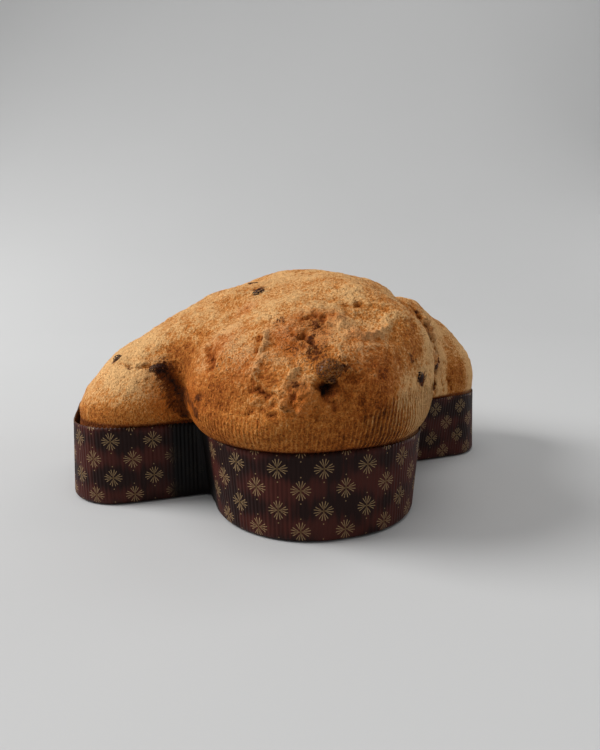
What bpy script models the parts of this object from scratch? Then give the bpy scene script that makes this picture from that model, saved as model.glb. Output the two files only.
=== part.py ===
"""Colomba: a dove-shaped Easter cake in its fluted paper case.

Frame: metres, +Z up, origin at the middle of the case's flat bottom, +X towards the head,
-X towards the tail, and the two wings along +Y and -Y.
The paper case is a folded shell. The bread fills it and swells over its rim in three lobes
(tail, wings and head), and raisins and a piece of candied peel sit in pockets in its crust.
"""
import math

import bmesh
import bpy
import numpy as np
from mathutils import Quaternion, Vector

NAME = "colomba"

# --- Paper case -------------------------------------------------------------------------
CASE_HEIGHT = 0.050
PAPER = 0.0010                  # thickness of the fluted paper
BOTTOM_FOLD = 0.0014            # small round fold between the bottom and the wall
GAP = 0.0004                    # clearance between touching solids

# One half of the outline, from the tail to the head (the other half is its mirror image).
# Per corner: x and y at the base, x and y at the rim, corner radius, facets on the corner,
# facets along the side that follows it. The rising bread has pushed the sides outwards at
# the rim, most of all in the notches, and drawn the two ends in.
CORNERS = (
    (-0.1530, 0.0495, -0.1500, 0.0480, 0.033, 8, 2),    # tail
    (-0.1120, 0.0515, -0.1120, 0.0565, 0.060, 2, 5),    # middle of the tail's side
    (-0.0695, 0.0510, -0.0750, 0.0540, 0.005, 3, 4),    # notch between the tail and the wing
    (-0.0690, 0.1325, -0.0740, 0.1325, 0.057, 10, 3),   # rear corner of the wing
    (0.0380, 0.1325, 0.0365, 0.1325, 0.056, 9, 6),      # front corner of the wing
    (0.0670, 0.0390, 0.0750, 0.0490, 0.006, 3, 6),      # notch between the wing and the head
    (0.1520, 0.0330, 0.1455, 0.0340, 0.031, 8, 1),      # head
)
TAIL_END_FACETS = 6

# --- Bread ------------------------------------------------------------------------------
CROWN_TOP = 0.1425              # height of the crown at its peak
PEAK_X = 0.020
TAIL_FALL = 0.0205             # the ridge falls by this (in mm) times distance ** 1.6
TAIL_FALL_POWER = 1.6
FRONT_FALL = 1.2                # curvature of the ridge in front of the peak, per metre
WING_FALL = 0.90                # curvature of the crown across the wings, per metre
HEAD_TOP = 0.1205
HEAD_SLOPE = 0.56               # slope of the head's ridge, which is HEAD_RIDGE high at HEAD_X
HEAD_RIDGE = 0.120
HEAD_X = 0.092
RIM_CLEAR = CASE_HEIGHT + GAP   # the bread's lower side starts here, just over the paper
UNDERCUT = 0.8                  # part of the lower quarter circle that shows above the rim
BLEND_TAIL = (0.005, 0.030)     # width of the crease between the wings and the tail, which
BLEND_RISE = (0.070, 0.110)     # softens over this height and has gone at the ridge
BLEND_HEAD = 0.004              # width of the crease between the wings and the head
WINGS = {"widest": 0.070, "side": 0.074, "power": 2.5}
TAIL = {"widest": 0.056, "side": 0.043, "power": 2.2}
HEAD = {"widest": 0.058, "side": 0.044, "power": 2.2}
WING_BULGE = 0.009              # overhang of the wings past the rim
TAIL_BULGE = (-0.0044, 0.0036)  # at the tail's end, where the bread has shrunk, and its root
HEAD_BULGE = (-0.0010, 0.0080)  # at the head's end and its root
SHRINK_START = 0.034            # height from which the bread leaves the paper at the tail
SHRINK_MIDDLE = 0.043
WINGS_OUTLINE = (((-0.076, 0.050), (-0.075, 0.1325), (0.036, 0.1325), (0.069, 0.039)),
                 (0.030, 0.057, 0.056, 0.030))
TAIL_OUTLINE = (((-0.150, 0.048), (-0.110, 0.057), (-0.082, 0.051), (-0.040, 0.045)),
                (0.033, 0.060, 0.030, 0.010))
HEAD_OUTLINE = (((0.040, 0.055), (0.075, 0.049), (0.1455, 0.034)), (0.020, 0.060, 0.031))
OUTLINE_FACETS = 8
RAY_HEIGHT = 0.070              # the upper crown is measured along rays from this height
ROWS_LOW = (0.0512, 0.0540, 0.0585, 0.0640, 0.0700)
ROWS_HIGH = 20
RAY_LENGTH = 0.200
BISECTIONS = 26

# Relief of the crust. Per feature: x, y, z of its middle, its radius and its height, where
# a negative height is a hollow.
RELIEF = (
    (-0.0724, -0.0863, 0.0933, 0.009, -0.0040),            # dimple over the rear of the wing
    (-0.060, 0.010, 0.124, 0.030, -0.0028),             # flatter back of the ridge
    (-0.0606, -0.0921, 0.0945, 0.008, 0.0018),             # its raised edge
    (0.0027, -0.1255, 0.1180, 0.019, -0.0030),             # shallow ring crater
    (0.0107, -0.1335, 0.1040, 0.009, 0.0012),              # lower edge of the ring
    (-0.0223, -0.1255, 0.1140, 0.009, -0.0040),            # burnt hollow
    (-0.0363, -0.1265, 0.1050, 0.020, -0.0030),            # torn area
    (-0.0472, -0.1103, 0.1129, 0.010, 0.0020),             # ridge over the torn area
    (-0.0223, -0.1355, 0.0990, 0.012, 0.0030),             # collar round the peel
    (-0.0343, -0.1395, 0.0820, 0.011, 0.0045),             # torn nose
    (-0.0293, -0.1405, 0.0720, 0.009, 0.0022),             # foot of the torn nose
    (-0.0533, -0.1305, 0.0810, 0.011, -0.0022),            # furrow of the fold
    (-0.0493, -0.1335, 0.0680, 0.014, 0.0022),             # smooth blister under the fold
    (-0.113, -0.036, 0.082, 0.010, -0.0018),            # crack on the tail
    (-0.0180, 0.1295, 0.0950, 0.020, -0.0032),             # torn area at the back
    (0.0200, 0.1305, 0.0880, 0.012, 0.0030),
    (-0.0500, 0.1145, 0.0980, 0.013, 0.0025),
    (0.0500, 0.0898, 0.1060, 0.016, -0.0030),
    (0.110, 0.020, 0.100, 0.014, -0.0018),
    (-0.100, 0.036, 0.086, 0.012, 0.0018),
    (-0.135, 0.020, 0.070, 0.010, -0.0016),
)
SWELL_HEIGHT = 0.0008           # of each of the slow waves that make the crown uneven
SWELL_WAVES = 5
SWELL_LENGTHS = (0.045, 0.085)
SWELL_SEED = 7
SWELL_FROM = (0.056, 0.078)     # the waves fade in over this height

# --- Fruit ------------------------------------------------------------------------------
# Per piece: its name, the x, y and z near which it sits on the crust, its length, width and
# thickness, its turn about its own upright and the share of its thickness that stands proud.
FRUIT = (
    ("raisin_tail_top", (-0.122, -0.019, 0.086), (0.0105, 0.0065, 0.0050), 20, 0.45),
    ("raisin_tail_side", (-0.0925, -0.0465, 0.0825), (0.0125, 0.0075, 0.0065), 5, 0.35),
    ("raisin_crown", (-0.037, -0.051, 0.130), (0.0095, 0.0070, 0.0060), 30, 0.35),
    ("peel_wing", (-0.0223, -0.1385, 0.0940), (0.0150, 0.0135, 0.0100), 15, 0.35),
    ("raisin_wing_front", (0.0337, -0.1345, 0.0860), (0.0085, 0.0070, 0.0060), -40, 0.30),
    ("raisin_head_side", (0.092, -0.048, 0.075), (0.0075, 0.0060, 0.0055), 60, 0.25),
    ("raisin_head_top", (0.118, 0.020, 0.102), (0.0085, 0.0065, 0.0055), -25, 0.35),
    ("raisin_back_high", (0.0120, 0.0863, 0.1325), (0.0080, 0.0065, 0.0055), 10, 0.35),
    ("raisin_back_low", (0.0200, 0.1395, 0.0820), (0.0090, 0.0065, 0.0060), 75, 0.25),
    ("peel_back", (-0.0400, 0.1325, 0.0900), (0.0120, 0.0100, 0.0080), 40, 0.30),
    ("raisin_tail_back", (-0.112, 0.040, 0.078), (0.0085, 0.0060, 0.0055), -15, 0.30),
)
WRINKLE = 0.10                  # depth of a raisin's wrinkles, as a share of its radius
RAISIN_DETAIL = 2
PEEL_SIZE = 0.011               # pieces longer than this are peel and have more facets
PEEL_DETAIL = 3


def make_material(name, colour, roughness):
    material = bpy.data.materials.new(name)
    material.use_nodes = True
    shader = material.node_tree.nodes["Principled BSDF"]
    shader.inputs["Base Color"].default_value = (*colour, 1.0)
    shader.inputs["Roughness"].default_value = roughness
    shader.inputs["Metallic"].default_value = 0.0
    material.diffuse_color = (*colour, 1.0)
    return material


def smoothstep(low, high, value):
    t = np.clip((value - low) / (high - low), 0.0, 1.0)
    return t * t * (3.0 - 2.0 * t)


def mix(pair, share):
    return pair[0] + (pair[1] - pair[0]) * share


# --- Plan outlines ----------------------------------------------------------------------
def corner_points(before, corner, after, radius, facets):
    """Points of an arc tangent to the two sides that meet at a corner."""
    to_before = (before - corner) / np.linalg.norm(before - corner)
    to_after = (after - corner) / np.linalg.norm(after - corner)
    half = 0.5 * math.acos(float(to_before @ to_after))
    start = corner + to_before * radius / math.tan(half)
    end = corner + to_after * radius / math.tan(half)
    bisector = (to_before + to_after) / np.linalg.norm(to_before + to_after)
    centre = corner + bisector * radius / math.sin(half)
    first = math.atan2(*(start - centre)[::-1])
    turn = (math.atan2(*(end - centre)[::-1]) - first + math.pi) % (2 * math.pi) - math.pi
    angles = first + turn * np.arange(facets + 1) / facets
    return centre + radius * np.stack([np.cos(angles), np.sin(angles)], axis=1)


def rounded_outline(corners, radii, corner_facets, side_facets):
    """A closed outline with an arc on each corner and evenly divided sides between them."""
    corners = [np.array(corner) for corner in corners]
    count = len(corners)
    arcs = [corner_points(corners[i - 1], corners[i], corners[(i + 1) % count],
                          radii[i], corner_facets[i]) for i in range(count)]
    points = []
    for i, arc in enumerate(arcs):
        points.extend(arc)
        start, end = arc[-1], arcs[(i + 1) % count][0]
        steps = side_facets[i]
        points.extend(start + (end - start) * step / steps for step in range(1, steps))
    return np.array(points)


def case_outline(level):
    """Outline of the case at a level from 0 (base) to 1 (rim), the same points at each."""
    half = [(mix((base_x, rim_x), level), mix((base_y, rim_y), level))
            for base_x, base_y, rim_x, rim_y, *_ in CORNERS]
    corners = half + [(x, -y) for x, y in reversed(half)]
    radii = [corner[4] for corner in CORNERS]
    arcs = [corner[5] for corner in CORNERS]
    sides = [corner[6] for corner in CORNERS]
    other_sides = sides[-2::-1] + [TAIL_END_FACETS]
    outline = rounded_outline(corners, radii + radii[::-1], arcs + arcs[::-1],
                              sides + other_sides)
    return outline[::-1]


def lobe_outline(half, radii):
    corners = list(half) + [(x, -y) for x, y in reversed(half)]
    facets = [OUTLINE_FACETS] * len(corners)
    return rounded_outline(corners, list(radii) + list(radii)[::-1], facets,
                           [1] * len(corners))


def inset(outline, distance):
    """The outline moved inwards; it runs anticlockwise, so inwards is to its left."""
    along = outline - np.roll(outline, 1, axis=0)
    along /= np.linalg.norm(along, axis=1)[:, None]
    left = np.stack([-along[:, 1], along[:, 0]], axis=1)
    both = left + np.roll(left, -1, axis=0)
    mitre = 2.0 * both / (both * both).sum(axis=1)[:, None]
    return outline + mitre * np.reshape(distance, (-1, 1))


def outline_distance(points, outline):
    """Signed distance in plan from points to a closed outline, negative inside."""
    starts = outline
    sides = np.roll(outline, -1, axis=0) - starts
    away = points[:, None, :] - starts[None]
    share = np.clip((away * sides).sum(axis=2) / (sides * sides).sum(axis=1), 0.0, 1.0)
    nearest = np.linalg.norm(away - share[..., None] * sides, axis=2).min(axis=1)
    above = starts[None, :, 1] > points[:, None, 1]
    crosses = above != np.roll(above, -1, axis=1)
    rise = np.where(sides[:, 1] == 0.0, 1.0, sides[:, 1])
    crossing_x = starts[:, 0] + (points[:, None, 1] - starts[:, 1]) * sides[:, 0] / rise
    inside = (crosses & (points[:, None, 0] < crossing_x)).sum(axis=1) % 2 == 1
    return np.where(inside, -nearest, nearest)


# --- Crown of the bread -----------------------------------------------------------------
WINGS_POINTS = lobe_outline(*WINGS_OUTLINE)
TAIL_POINTS = lobe_outline(*TAIL_OUTLINE)
HEAD_POINTS = lobe_outline(*HEAD_OUTLINE)


def tail_bulge(x):
    return mix(TAIL_BULGE, smoothstep(-0.150, -0.095, x))


def head_bulge(x):
    return mix(HEAD_BULGE, smoothstep(0.110, 0.084, x))


def ridge(x):
    """Height of the crown along its length, over the tail and the wings."""
    behind = np.maximum(PEAK_X - x, 0.0)
    ahead = np.maximum(x - PEAK_X, 0.0)
    fall = TAIL_FALL * (behind * 1000.0) ** TAIL_FALL_POWER / 1000.0
    return CROWN_TOP - fall - FRONT_FALL * ahead ** 2


def lobe(points, outline, form, bulge, top):
    """Roughly the distance from points to a lobe whose section is a superellipse.

    The lobe is widest at one height. Over it the side curves in to the top, and under it
    the side curves back to the rim, by as much as the lobe bulges past the rim."""
    z = points[:, 2]
    distance = outline_distance(points[:, :2], outline)
    above = z >= form["widest"]
    upper = np.maximum(top - form["widest"], 0.003)
    lower = (form["widest"] - CASE_HEIGHT) / UNDERCUT
    height = np.abs(z - form["widest"]) / np.where(above, upper, lower)
    turn_in = np.maximum(bulge, 0.0003) / (1.0 - math.sqrt(1.0 - UNDERCUT ** 2))
    radius = np.where(above, form["side"], turn_in)
    width = np.maximum(0.0, 1.0 + (distance - bulge) / radius)
    power = np.where(above, form["power"], 2.0)
    value = (height ** power + width ** power) ** (1.0 / power) - 1.0
    return value * np.minimum(radius, 0.060)


def smooth_union(first, second, width):
    overlap = np.maximum(width - np.abs(first - second), 0.0) / width
    return np.minimum(first, second) - overlap ** 2 * width / 4.0


def swell(points):
    """Slow seeded waves that make the crown uneven."""
    random = np.random.default_rng(SWELL_SEED)
    total = np.zeros(len(points))
    for _ in range(SWELL_WAVES):
        direction = random.normal(size=3)
        direction /= np.linalg.norm(direction)
        length = random.uniform(*SWELL_LENGTHS)
        phase = random.uniform(0.0, 2.0 * math.pi)
        total += np.sin(2.0 * math.pi * (points @ direction) / length + phase)
    return SWELL_HEIGHT * total * smoothstep(*SWELL_FROM, points[:, 2])


def relief(points):
    total = swell(points)
    for x, y, z, radius, height in RELIEF:
        away = np.linalg.norm(points - np.array((x, y, z)), axis=1) / radius
        total += height * np.exp(-away ** 2)
    return total


def crown(points):
    """Roughly the distance from points to the crown's surface, negative inside."""
    x, y = points[:, 0], points[:, 1]
    wings = lobe(points, WINGS_POINTS, WINGS, np.full(len(x), WING_BULGE),
                 ridge(x) - WING_FALL * y ** 2)
    tail = lobe(points, TAIL_POINTS, TAIL, tail_bulge(x), ridge(x))
    head = lobe(points, HEAD_POINTS, HEAD, head_bulge(x),
                np.minimum(HEAD_RIDGE - HEAD_SLOPE * (x - HEAD_X), HEAD_TOP))
    soft = mix(BLEND_TAIL, smoothstep(*BLEND_RISE, points[:, 2]))
    body = smooth_union(smooth_union(wings, tail, soft), head, BLEND_HEAD)
    return body - relief(points)


def reach_crown(start, directions):
    """The points where rays from inside the bread leave the crown."""
    near = np.zeros(len(directions))
    far = np.full(len(directions), RAY_LENGTH)
    for _ in range(BISECTIONS):
        middle = 0.5 * (near + far)
        inside = crown(start + directions * middle[:, None]) < 0.0
        near = np.where(inside, middle, near)
        far = np.where(inside, far, middle)
    return start + directions * near[:, None]


def bread_rows():
    """Rings of the bread from its bottom to its crown, each with one point a column."""
    floor = PAPER + GAP
    rows = []
    levels = ((floor, BOTTOM_FOLD + GAP), (floor + BOTTOM_FOLD + GAP, 0.0),
              (SHRINK_START, 0.0), (SHRINK_MIDDLE, 0.0), (RIM_CLEAR, 0.0))
    for z, extra in levels:
        outline = case_outline(min(z / CASE_HEIGHT, 1.0))
        away = np.maximum(-tail_bulge(outline[:, 0]) - PAPER - GAP, 0.0)
        away *= smoothstep(SHRINK_START, CASE_HEIGHT, z)
        ring = inset(outline, PAPER + GAP + extra + away)
        rows.append(np.column_stack([ring, np.full(len(ring), z)]))
    azimuths = np.arctan2(rows[-1][:, 1], rows[-1][:, 0])
    level_rays = np.column_stack([np.cos(azimuths), np.sin(azimuths), 0.0 * azimuths])
    for z in ROWS_LOW:
        rows.append(reach_crown(np.array((0.0, 0.0, z)), level_rays))
    for row in range(1, ROWS_HIGH):
        elevation = 0.5 * math.pi * row / ROWS_HIGH
        rays = level_rays * math.cos(elevation)
        rays[:, 2] = math.sin(elevation)
        rows.append(reach_crown(np.array((0.0, 0.0, RAY_HEIGHT)), rays))
    return rows


# --- Solids -----------------------------------------------------------------------------
def finish_object(name, mesh_data, material, collection):
    mesh = bpy.data.meshes.new(name)
    mesh_data.to_mesh(mesh)
    mesh_data.free()
    mesh.materials.append(material)
    mesh.shade_smooth()
    item = bpy.data.objects.new(name, mesh)
    collection.objects.link(item)
    return item


def make_bread(material, collection):
    """A UV sphere whose rings are moved onto the rows of the bread."""
    rows = bread_rows()
    columns = len(rows[0])
    bands = len(rows) + 1
    bottom = Vector((0.0, 0.0, rows[0][0, 2]))
    top = reach_crown(np.array((0.0, 0.0, RAY_HEIGHT)), np.array([(0.0, 0.0, 1.0)]))[0]
    sphere = bmesh.new()
    bmesh.ops.create_uvsphere(sphere, u_segments=columns, v_segments=bands, radius=1.0)
    for vertex in sphere.verts:
        x, y, z = vertex.co
        row = round((0.5 + math.asin(max(-1.0, min(1.0, z))) / math.pi) * bands)
        column = round(math.atan2(y, x) / (2.0 * math.pi) * columns) % columns
        if row == 0:
            vertex.co = bottom
        elif row == bands:
            vertex.co = top
        else:
            vertex.co = rows[row - 1][column]
    return finish_object("bread", sphere, material, collection)


def make_paper_case(material, collection):
    """A disc whose edge is drawn up into a wall, moved onto the outline and thickened."""
    rings = ((0.0, BOTTOM_FOLD), (BOTTOM_FOLD, 0.0), (CASE_HEIGHT, 0.0))
    outlines = [inset(case_outline(z / CASE_HEIGHT), extra) for z, extra in rings]
    columns = len(outlines[0])
    shell = bmesh.new()
    disc = bmesh.ops.create_circle(shell, segments=columns, radius=1.0, cap_ends=True)
    edges = list({edge for vertex in disc["verts"] for edge in vertex.link_edges})
    for _ in rings[1:]:
        raised = bmesh.ops.extrude_edge_only(shell, edges=edges)["geom"]
        edges = [item for item in raised if isinstance(item, bmesh.types.BMEdge)]
        upper = [item for item in raised if isinstance(item, bmesh.types.BMVert)]
        bmesh.ops.translate(shell, verts=upper, vec=(0.0, 0.0, 1.0))
    for vertex in shell.verts:
        x, y, level = vertex.co
        column = round(math.atan2(y, x) / (2.0 * math.pi) * columns) % columns
        ring = round(level)
        vertex.co = (*outlines[ring][column], rings[ring][0])
    bmesh.ops.recalc_face_normals(shell, faces=shell.faces)
    bottom = min(shell.faces, key=lambda face: face.calc_center_median().z)
    if bottom.normal.z > 0.0:       # the shell is open, so its faces may all point inwards
        bmesh.ops.reverse_faces(shell, faces=shell.faces)
    case = finish_object("paper_case", shell, material, collection)
    solidify = case.modifiers.new("thickness", "SOLIDIFY")
    solidify.thickness = PAPER
    solidify.offset = -1.0
    solidify.use_even_offset = True
    return case


def seat_on_crust(near):
    """The point of the crust over a given place, and the crust's normal there."""
    start = np.array((0.0, 0.0, RAY_HEIGHT))
    ray = np.array(near) - start
    point = reach_crown(start, (ray / np.linalg.norm(ray))[None])[0]
    step = 0.002
    around = np.concatenate([point + step * np.eye(3), point - step * np.eye(3)])
    values = crown(around)
    normal = Vector(values[:3] - values[3:]).normalized()
    return Vector(point), normal


def make_fruit(name, near, size, turn, proud, clearance, material, collection):
    """A wrinkled ball sunk in the crust; a positive clearance makes its pocket instead."""
    point, normal = seat_on_crust(near)
    detail = PEEL_DETAIL if size[0] > PEEL_SIZE else RAISIN_DETAIL
    ball = bmesh.new()
    bmesh.ops.create_icosphere(ball, subdivisions=detail, radius=1.0)
    phase = 40.0 * near[0] + 25.0 * near[1]
    for vertex in ball.verts:
        x, y, z = vertex.co
        wave = math.sin(5.0 * x + phase) * math.cos(4.0 * y - phase) + math.sin(6.0 * z + phase)
        scale = 1.0 + WRINKLE * 0.5 * wave
        vertex.co = Vector([axis * (0.5 * length * scale + clearance)
                            for axis, length in zip((x, y, z), size)])
    item = finish_object(name, ball, material, collection)
    item.location = point + normal * size[2] * (proud - 0.5)
    item.rotation_mode = "QUATERNION"
    spin = Quaternion((0.0, 0.0, 1.0), math.radians(turn))
    item.rotation_quaternion = normal.to_track_quat("Z", "Y") @ spin
    return item


def main():
    for item in list(bpy.data.objects):
        bpy.data.objects.remove(item)
    parts = bpy.data.collections.new(NAME)
    cutters = bpy.data.collections.new("cutters")
    for collection in (parts, cutters):
        bpy.context.scene.collection.children.link(collection)
    paper = make_material("printed_paper", (0.022, 0.009, 0.008), 0.55)
    crust = make_material("crust", (0.42, 0.19, 0.07), 0.75)
    raisin = make_material("raisin", (0.018, 0.008, 0.006), 0.50)
    peel = make_material("candied_peel", (0.10, 0.04, 0.018), 0.40)
    make_paper_case(paper, parts)
    bread = make_bread(crust, parts)
    for name, near, size, turn, proud in FRUIT:
        look = peel if size[0] > PEEL_SIZE else raisin
        make_fruit(name, near, size, turn, proud, 0.0, look, parts)
        pocket = make_fruit(name + "_pocket", near, size, turn, proud, GAP, crust, cutters)
        pocket.hide_render = True
        pocket.display_type = "WIRE"
        cut = bread.modifiers.new(name, "BOOLEAN")
        cut.operation = "DIFFERENCE"
        cut.object = pocket


main()
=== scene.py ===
"""Looks of the colomba: a dove-shaped Easter cake in its fluted, printed paper case.

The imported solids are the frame. The bread, the paper case and every piece of fruit are replaced
by finely modelled meshes of the same form, which get the finish of the real surfaces.
Units are metres. +X points to the head, -X to the tail, and the wings lie along +Y and -Y.
"""
import math

import bmesh
import bpy
import numpy as np
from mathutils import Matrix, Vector, noise

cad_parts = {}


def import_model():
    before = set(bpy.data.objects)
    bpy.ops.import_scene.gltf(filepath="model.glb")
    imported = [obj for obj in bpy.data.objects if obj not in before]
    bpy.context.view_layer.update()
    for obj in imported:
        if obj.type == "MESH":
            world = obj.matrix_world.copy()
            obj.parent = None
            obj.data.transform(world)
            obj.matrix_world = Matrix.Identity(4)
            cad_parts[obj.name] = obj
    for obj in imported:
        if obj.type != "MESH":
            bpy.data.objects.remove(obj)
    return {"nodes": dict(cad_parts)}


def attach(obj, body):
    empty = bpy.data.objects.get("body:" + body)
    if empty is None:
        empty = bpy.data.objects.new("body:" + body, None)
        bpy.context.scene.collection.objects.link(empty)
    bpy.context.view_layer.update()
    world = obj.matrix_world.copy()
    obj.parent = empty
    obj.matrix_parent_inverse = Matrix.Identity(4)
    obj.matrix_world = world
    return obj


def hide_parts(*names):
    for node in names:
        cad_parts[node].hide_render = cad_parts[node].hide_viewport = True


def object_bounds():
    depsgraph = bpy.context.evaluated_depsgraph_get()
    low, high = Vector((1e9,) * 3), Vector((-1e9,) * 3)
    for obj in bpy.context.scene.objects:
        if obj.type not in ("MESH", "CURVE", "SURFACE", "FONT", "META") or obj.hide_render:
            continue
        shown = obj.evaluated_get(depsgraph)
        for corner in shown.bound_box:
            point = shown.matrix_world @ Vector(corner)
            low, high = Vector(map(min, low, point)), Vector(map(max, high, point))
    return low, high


MM = 0.001

# --- Form of the cake, as in the solids -------------------------------------------------
CASE_HEIGHT = 0.050
WALL_INSET = 0.0014             # the bread's side lies this far inside the case's outline
# Per corner of half the outline: x and y at the base, x and y at the rim, radius.
CORNERS = (
    (-0.1530, 0.0495, -0.1500, 0.0480, 0.033),
    (-0.1120, 0.0515, -0.1120, 0.0565, 0.060),
    (-0.0695, 0.0510, -0.0750, 0.0540, 0.005),
    (-0.0690, 0.1325, -0.0740, 0.1325, 0.057),
    (0.0380, 0.1325, 0.0365, 0.1325, 0.056),
    (0.0670, 0.0390, 0.0750, 0.0490, 0.006),
    (0.1520, 0.0330, 0.1455, 0.0340, 0.031),
)
ARC_POINTS = 24
SIDE_POINTS = 12
PLAN_REACH = (0.170, 0.150)     # half the size of the grids of distances
PLAN_STEP = 0.001
CROWN_TOP = 0.1425
PEAK_X = 0.020
TAIL_FALL = 0.0205              # the ridge falls by this (in mm) times distance ** 1.6
TAIL_FALL_POWER = 1.6
FRONT_FALL = 1.2
WING_FALL = 0.90
HEAD_TOP = 0.1205
HEAD_SLOPE = 0.56
HEAD_RIDGE = 0.120
HEAD_X = 0.092
RIM_CLEAR = 0.0504
UNDERCUT = 0.8
BLEND_TAIL = (0.005, 0.030)
BLEND_RISE = (0.070, 0.110)
BLEND_HEAD = 0.004
WINGS = {"widest": 0.070, "side": 0.074, "power": 2.5}
TAIL = {"widest": 0.056, "side": 0.043, "power": 2.2}
HEAD = {"widest": 0.058, "side": 0.044, "power": 2.2}
WING_BULGE = 0.009
TAIL_BULGE = (-0.0044, 0.0036)
HEAD_BULGE = (-0.0010, 0.0080)
SHRINK_START = 0.034
WINGS_OUTLINE = (((-0.076, 0.050), (-0.075, 0.1325), (0.036, 0.1325), (0.069, 0.039)),
                 (0.030, 0.057, 0.056, 0.030))
TAIL_OUTLINE = (((-0.150, 0.048), (-0.110, 0.057), (-0.082, 0.051), (-0.040, 0.045)),
                (0.033, 0.060, 0.030, 0.010))
HEAD_OUTLINE = (((0.040, 0.055), (0.075, 0.049), (0.1455, 0.034)), (0.020, 0.060, 0.031))
RAY_HEIGHT = 0.070
RAY_LENGTH = 0.200
BISECTIONS = 17
SWELL_HEIGHT = 0.0008
SWELL_WAVES = 5
SWELL_LENGTHS = (0.045, 0.085)
SWELL_SEED = 7
SWELL_FROM = (0.056, 0.078)

BREAD_COLUMNS = 960
ROWS_LOW = 20                   # rows between the rim and the height of the rays
ROWS_HIGH = 200

# Broad relief. Per feature: x, y, z of its middle, its radius and its height.
RELIEF = (
    (-0.0724, -0.0863, 0.0933, 0.009, -0.0030),         # dimple over the rear of the wing
    (-0.060, 0.010, 0.124, 0.030, -0.0028),             # flatter back of the ridge
    (-0.0606, -0.0921, 0.0945, 0.008, 0.0018),          # raised edge of the dimple
    (0.0050, -0.1180, 0.1150, 0.0115, -0.0032),         # floor of the ring crater
    (-0.0223, -0.1195, 0.1130, 0.008, -0.0030),         # burnt hollow
    (-0.0313, -0.1255, 0.1040, 0.016, -0.0022),         # torn area
    (-0.0472, -0.1103, 0.1129, 0.010, 0.0020),          # ridge over the torn area
    (-0.0223, -0.1355, 0.0990, 0.012, 0.0030),          # collar round the peel
    (-0.0353, -0.1395, 0.0830, 0.010, 0.0040),          # torn nose
    (-0.0313, -0.1405, 0.0730, 0.009, 0.0022),          # foot of the torn nose
    (-0.0533, -0.1305, 0.0810, 0.011, -0.0018),         # furrow of the fold
    (-0.0513, -0.1335, 0.0680, 0.012, 0.0022),          # smooth blister under the fold
    (-0.113, -0.036, 0.082, 0.010, -0.0018),            # crack on the tail
    (-0.0180, 0.1295, 0.0950, 0.020, -0.0032),          # torn area at the back
    (0.0200, 0.1305, 0.0880, 0.012, 0.0030),
    (-0.0500, 0.1145, 0.0980, 0.013, 0.0025),
    (0.0500, 0.0898, 0.1060, 0.016, -0.0030),
    (0.110, 0.020, 0.100, 0.014, -0.0018),
    (-0.100, 0.036, 0.086, 0.012, 0.0018),
    (-0.135, 0.020, 0.070, 0.010, -0.0016),
)


def smoothstep(low, high, value):
    t = np.clip((value - low) / (high - low), 0.0, 1.0)
    return t * t * (3.0 - 2.0 * t)


def mix(pair, share):
    return pair[0] + (pair[1] - pair[0]) * share


# --- Plan outlines ----------------------------------------------------------------------
def corner_points(before, corner, after, radius):
    """Points of an arc tangent to the two sides that meet at a corner."""
    to_before = (before - corner) / np.linalg.norm(before - corner)
    to_after = (after - corner) / np.linalg.norm(after - corner)
    half = 0.5 * math.acos(float(to_before @ to_after))
    start = corner + to_before * radius / math.tan(half)
    end = corner + to_after * radius / math.tan(half)
    bisector = (to_before + to_after) / np.linalg.norm(to_before + to_after)
    centre = corner + bisector * radius / math.sin(half)
    first = math.atan2(*(start - centre)[::-1])
    turn = (math.atan2(*(end - centre)[::-1]) - first + math.pi) % (2 * math.pi) - math.pi
    angles = first + turn * np.arange(ARC_POINTS + 1) / ARC_POINTS
    return centre + radius * np.stack([np.cos(angles), np.sin(angles)], axis=1)


def rounded_outline(half, radii, side_points=SIDE_POINTS):
    """A closed outline, symmetric about X, with an arc on each corner."""
    corners = [np.array(corner) for corner in half]
    corners += [np.array((x, -y)) for x, y in reversed(half)]
    radii = list(radii) + list(radii)[::-1]
    count = len(corners)
    arcs = [corner_points(corners[i - 1], corners[i], corners[(i + 1) % count], radii[i])
            for i in range(count)]
    points = []
    for i, arc in enumerate(arcs):
        points.extend(arc)
        start, end = arc[-1], arcs[(i + 1) % count][0]
        points.extend(start + (end - start) * step / side_points
                      for step in range(1, side_points))
    return np.array(points)


def case_outline(level):
    """Outline of the case at a level from 0 (base) to 1 (rim), anticlockwise."""
    half = [(mix((base_x, rim_x), level), mix((base_y, rim_y), level))
            for base_x, base_y, rim_x, rim_y, _ in CORNERS]
    return rounded_outline(half, [corner[4] for corner in CORNERS])[::-1]


def lengths_along(outline):
    """Distance along a closed outline from its first point, with the total at the end."""
    steps = np.linalg.norm(np.roll(outline, -1, axis=0) - outline, axis=1)
    return np.concatenate([[0.0], np.cumsum(steps)])


def resample(outline, places):
    """Points of a closed outline at fractional indices."""
    closed = np.vstack([outline, outline[:1]])
    index = np.arange(len(closed))
    return np.column_stack([np.interp(places, index, closed[:, axis]) for axis in (0, 1)])


def inset(outline, distance):
    """The outline moved inwards; it runs anticlockwise, so inwards is to its left."""
    along = outline - np.roll(outline, 1, axis=0)
    along /= np.linalg.norm(along, axis=1)[:, None]
    left = np.stack([-along[:, 1], along[:, 0]], axis=1)
    both = left + np.roll(left, -1, axis=0)
    mitre = 2.0 * both / (both * both).sum(axis=1)[:, None]
    return outline + mitre * np.reshape(distance, (-1, 1))


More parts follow.
